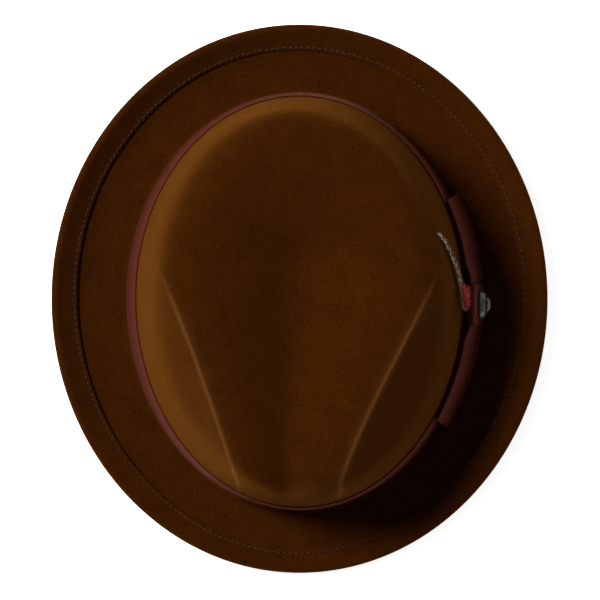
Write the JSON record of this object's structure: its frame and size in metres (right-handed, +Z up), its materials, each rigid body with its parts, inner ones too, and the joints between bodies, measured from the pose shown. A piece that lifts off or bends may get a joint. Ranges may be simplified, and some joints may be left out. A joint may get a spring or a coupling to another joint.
{
  "type": "fedora hat",
  "caption": "Brown felt fedora with a narrow curled brim, pinched crown, grosgrain ribbon and flat bow, barred feathers and a round metal pin.",
  "frame": {"origin": "The middle of the hat's footprint, on the flat surface that the brim rests on.", "axes": "+Z is up through the crown, -Y points to the front of the hat and +X to the wearer's left, where the bow is."},
  "size_m": [0.2446, 0.2714, 0.1032],
  "materials": {
    "felt": "napped wool felt",
    "felt_thread": "matt twisted thread",
    "grosgrain": "ribbed grosgrain with a low sheen",
    "ribbon_thread": "matt thread",
    "pin_metal": "aged and lightly brushed",
    "pin_steel": "drawn wire",
    "pin_brass": "stamped",
    "quill": "horn-like feather shaft, semi matt",
    "binding_thread": "wound thread",
    "striped_feather": "barred feather vane, cream and dark brown",
    "red_feather": "dyed fluff",
    "gold_feather": "dyed hackle",
    "sweatband_leather": "smooth, fine grain",
    "reed_plastic": "semi matt",
    "seam_tape": "narrow ribbon",
    "label_cloth": "woven, blank",
    "satin": "satin",
    "clear_film": "clear film"
  },
  "bodies": {
    "hat": {"felt_body": "felt", "brim_stitches_rear": "felt_thread", "ribbon_band": "grosgrain", "ribbon_tacks": "ribbon_thread", "bow_backing": "grosgrain", "bow_rear_loop": "grosgrain", "bow_front_loop": "grosgrain", "bow_knot": "grosgrain", "bow_tacks": "ribbon_thread", "sweatband": "sweatband_leather", "sweatband_reed": "reed_plastic", "sweatband_stitches": "felt_thread", "sweatband_seam": "seam_tape", "sweatband_bow": "seam_tape", "size_label": "label_cloth", "lining_side": "satin", "lining_tip": "satin", "tip_shield": "clear_film"},
    "brim_front": {"front_brim": "felt", "brim_stitches_front": "felt_thread"},
    "clutch": {"pin_clutch": "pin_brass"},
    "pin": {"pin_dish": "pin_metal", "pin_dome": "pin_metal", "pin_post": "pin_steel"},
    "feathers": {"feather_quill": "quill", "feather_binding": "binding_thread", "striped_feather_long": "striped_feather", "striped_feather_short": "striped_feather", "red_feather": "red_feather", "gold_feather": "gold_feather"}
  },
  "joints": [
    {"name": "brim_snap", "type": "hinge", "parent": "hat", "child": "brim_front", "pos_m": [0, -0.1094, 0.0011], "axis": [1, 0, 0], "range_deg": [-20, 12]},
    {"name": "feather_draw", "type": "slide", "parent": "hat", "child": "feathers", "axis": [-0.186, 0.1562, 0.9701], "range_m": [0, 0.035]},
    {"name": "pin_turn", "type": "hinge", "parent": "hat", "child": "clutch", "pos_m": [0.08862, -0.00275, 0.02205], "axis": [0.9795, -0.0114, 0.201], "continuous": true},
    {"name": "pin_pull", "type": "slide", "parent": "clutch", "child": "pin", "axis": [0.9795, -0.0114, 0.201], "range_m": [0, 0.006]}
  ]
}
